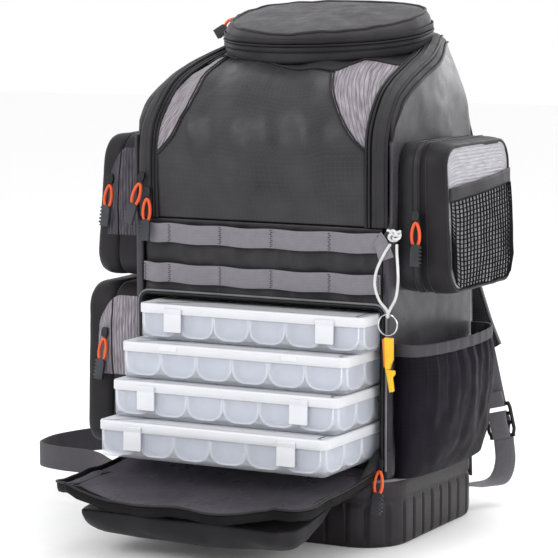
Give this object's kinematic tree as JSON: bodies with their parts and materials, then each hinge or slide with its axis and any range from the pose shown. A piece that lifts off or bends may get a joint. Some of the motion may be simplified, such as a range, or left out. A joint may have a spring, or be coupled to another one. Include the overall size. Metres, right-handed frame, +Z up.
{
  "type": "tackle backpack",
  "caption": "Zipped fishing rucksack with a front tray compartment, compartmented utility boxes, webbing rows, side pockets and a moulded base.",
  "frame": {"origin": "middle of the underside of the moulded base", "axes": "+X to the right seen from the front, front faces -Y, +Y towards the wearer's back, +Z up"},
  "size_m": [0.5737, 0.4916, 0.5755],
  "materials": {
    "rubber_base": "moulded, matt",
    "foam_board": "fabric-covered board",
    "padding": "padded air mesh",
    "coated_fabric": "coated, satin sheen",
    "ripstop": "coated ripstop weave",
    "zip_tape": "coil zip on matt tape",
    "lining": "satin lining",
    "net": "dark net over pale cloth",
    "heather": "streaked heather weave",
    "webbing": "ribbed webbing",
    "buckle": "moulded acetal",
    "white_cord": "braided cord",
    "steel": "bright wire",
    "yellow_plastic": "moulded",
    "pull_grip": "moulded grip on an orange cord loop",
    "frosted_box": "frosted translucent polypropylene"
  },
  "bodies": {
    "bag": {"base_tub": "rubber_base", "tackle_floor": "foam_board", "compartment_divider": "foam_board", "back_panel": "padding", "side_panel_left": "coated_fabric", "side_panel_right": "coated_fabric", "front_band": "coated_fabric", "molle_strap_upper": "webbing", "molle_strap_lower": "webbing", "tray_opening_zip": "zip_tape", "door_zip_left": "zip_tape", "door_zip_right": "zip_tape", "left_upper_pocket": "coated_fabric", "left_lower_pocket": "coated_fabric", "right_pouch": "coated_fabric", "bottle_pocket": "ripstop", "shoulder_strap_left": "padding", "shoulder_strap_right": "padding", "strap_adjuster_left": "buckle", "strap_adjuster_right": "buckle", "strap_webbing_left": "webbing", "strap_webbing_right": "webbing", "grab_handle": "webbing", "waist_belt_left": "webbing", "waist_belt_right": "webbing", "lanyard_cord": "white_cord", "lanyard_knot": "white_cord", "split_ring": "steel", "line_clipper": "yellow_plastic"},
    "door": {"door_shell": "ripstop", "lid_pocket_body": "coated_fabric"},
    "lid_cover": {"lid_pocket_cover": "coated_fabric"},
    "flap": {"tray_flap": "lining", "flap_pocket": "ripstop"},
    "left_upper_cover": {"left_upper_pocket_cover": "heather"},
    "left_lower_cover": {"left_lower_pocket_cover": "heather"},
    "right_pouch_cover": {"right_pouch_cover": "net"},
    "tray_1": {"tray_1_base": "frosted_box", "tray_1_lid": "frosted_box"},
    "tray_1_latch_left": {"tray_1_latch_left": "frosted_box"},
    "tray_1_latch_right": {"tray_1_latch_right": "frosted_box"},
    "tray_2": {"tray_2_base": "frosted_box", "tray_2_lid": "frosted_box"},
    "tray_2_latch_left": {"tray_2_latch_left": "frosted_box"},
    "tray_2_latch_right": {"tray_2_latch_right": "frosted_box"},
    "tray_3": {"tray_3_base": "frosted_box", "tray_3_lid": "frosted_box"},
    "tray_3_latch_left": {"tray_3_latch_left": "frosted_box"},
    "tray_3_latch_right": {"tray_3_latch_right": "frosted_box"},
    "tray_4": {"tray_4_base": "frosted_box", "tray_4_lid": "frosted_box"},
    "tray_4_latch_left": {"tray_4_latch_left": "frosted_box"},
    "tray_4_latch_right": {"tray_4_latch_right": "frosted_box"},
    "door_pull_upper": {"door_pull_upper": "pull_grip"},
    "door_pull_lower": {"door_pull_lower": "pull_grip"},
    "tray_zip_pull": {"tray_zip_pull": "pull_grip"},
    "left_upper_pull": {"left_upper_pull": "pull_grip"},
    "left_lower_pull": {"left_lower_pull": "pull_grip"},
    "right_pouch_pull": {"right_pouch_pull": "pull_grip"},
    "lid_pull": {"lid_pull": "pull_grip"}
  },
  "joints": [
    {"name": "door_hinge", "type": "hinge", "parent": "bag", "child": "door", "pos_m": [0, -0.111, 0.342], "axis": [1, 0, 0], "range_deg": [0, 100]},
    {"name": "lid_hinge", "type": "hinge", "parent": "door", "child": "lid_cover", "pos_m": [0, 0.1045, 0.5555], "axis": [-1, 0, 0], "range_deg": [0, 95]},
    {"name": "flap_hinge", "type": "hinge", "parent": "bag", "child": "flap", "pos_m": [0, -0.1135, 0.0805], "axis": [-1, 0, 0], "range_deg": [0, 6]},
    {"name": "left_upper_cover_hinge", "type": "hinge", "parent": "bag", "child": "left_upper_cover", "pos_m": [-0.1831, 0.08, 0.3505], "axis": [0, 0, -1], "range_deg": [0, 85]},
    {"name": "left_lower_cover_hinge", "type": "hinge", "parent": "bag", "child": "left_lower_cover", "pos_m": [-0.1941, 0.085, 0.169], "axis": [0, 0, -1], "range_deg": [0, 85]},
    {"name": "right_pouch_cover_hinge", "type": "hinge", "parent": "bag", "child": "right_pouch_cover", "pos_m": [0.17744, 0.082, 0.351], "axis": [0, 0, 1], "range_deg": [0, 85]},
    {"name": "tray_1_slide", "type": "slide", "parent": "bag", "child": "tray_1", "axis": [0, 1, 0], "range_m": [-0.144, 0.048]},
    {"name": "tray_1_latch_left_hinge", "type": "hinge", "parent": "tray_1", "child": "tray_1_latch_left", "pos_m": [-0.0858, -0.1526, 0.246], "axis": [-1, 0, 0], "range_deg": [0, 90]},
    {"name": "tray_1_latch_right_hinge", "type": "hinge", "parent": "tray_1", "child": "tray_1_latch_right", "pos_m": [0.0992, -0.1526, 0.246], "axis": [-1, 0, 0], "range_deg": [0, 90]},
    {"name": "tray_2_slide", "type": "slide", "parent": "bag", "child": "tray_2", "axis": [0, 1, 0], "range_m": [-0.118, 0.074]},
    {"name": "tray_2_latch_left_hinge", "type": "hinge", "parent": "tray_2", "child": "tray_2_latch_left", "pos_m": [-0.0925, 0.0046, 0.2065], "axis": [1, 0, 0], "range_deg": [0, 90]},
    {"name": "tray_2_latch_right_hinge", "type": "hinge", "parent": "tray_2", "child": "tray_2_latch_right", "pos_m": [0.0925, 0.0046, 0.2065], "axis": [1, 0, 0], "range_deg": [0, 90]},
    {"name": "tray_3_slide", "type": "slide", "parent": "bag", "child": "tray_3", "axis": [0, 1, 0], "range_m": [-0.098, 0.094]},
    {"name": "tray_3_latch_left_hinge", "type": "hinge", "parent": "tray_3", "child": "tray_3_latch_left", "pos_m": [-0.0925, -0.1986, 0.167], "axis": [-1, 0, 0], "range_deg": [0, 90]},
    {"name": "tray_3_latch_right_hinge", "type": "hinge", "parent": "tray_3", "child": "tray_3_latch_right", "pos_m": [0.0925, -0.1986, 0.167], "axis": [-1, 0, 0], "range_deg": [0, 90]},
    {"name": "tray_4_slide", "type": "slide", "parent": "bag", "child": "tray_4", "axis": [0, 1, 0], "range_m": [-0.07, 0.122]},
    {"name": "tray_4_latch_left_hinge", "type": "hinge", "parent": "tray_4", "child": "tray_4_latch_left", "pos_m": [-0.0925, -0.2266, 0.1275], "axis": [-1, 0, 0], "range_deg": [0, 90]},
    {"name": "tray_4_latch_right_hinge", "type": "hinge", "parent": "tray_4", "child": "tray_4_latch_right", "pos_m": [0.0925, -0.2266, 0.1275], "axis": [-1, 0, 0], "range_deg": [0, 90]},
    {"name": "door_pull_upper_slide", "type": "slide", "parent": "bag", "child": "door_pull_upper", "axis": [0, 0, 1], "range_m": [0, 0.045]},
    {"name": "door_pull_lower_slide", "type": "slide", "parent": "bag", "child": "door_pull_lower", "axis": [0, 0, 1], "range_m": [-0.024, 0]},
    {"name": "tray_zip_pull_slide", "type": "slide", "parent": "bag", "child": "tray_zip_pull", "axis": [0, 0, 1], "range_m": [0, 0.085]},
    {"name": "left_upper_pull_slide", "type": "slide", "parent": "bag", "child": "left_upper_pull", "axis": [0, 0, 1], "range_m": [-0.08, 0.018]},
    {"name": "left_lower_pull_slide", "type": "slide", "parent": "bag", "child": "left_lower_pull", "axis": [0, 0, 1], "range_m": [-0.075, 0.024]},
    {"name": "right_pouch_pull_slide", "type": "slide", "parent": "bag", "child": "right_pouch_pull", "axis": [0, 0, 1], "range_m": [-0.06, 0.045]},
    {"name": "lid_pull_slide", "type": "slide", "parent": "door", "child": "lid_pull", "axis": [0, 0.9882, 0.153], "range_m": [-0.045, 0.018]}
  ]
}
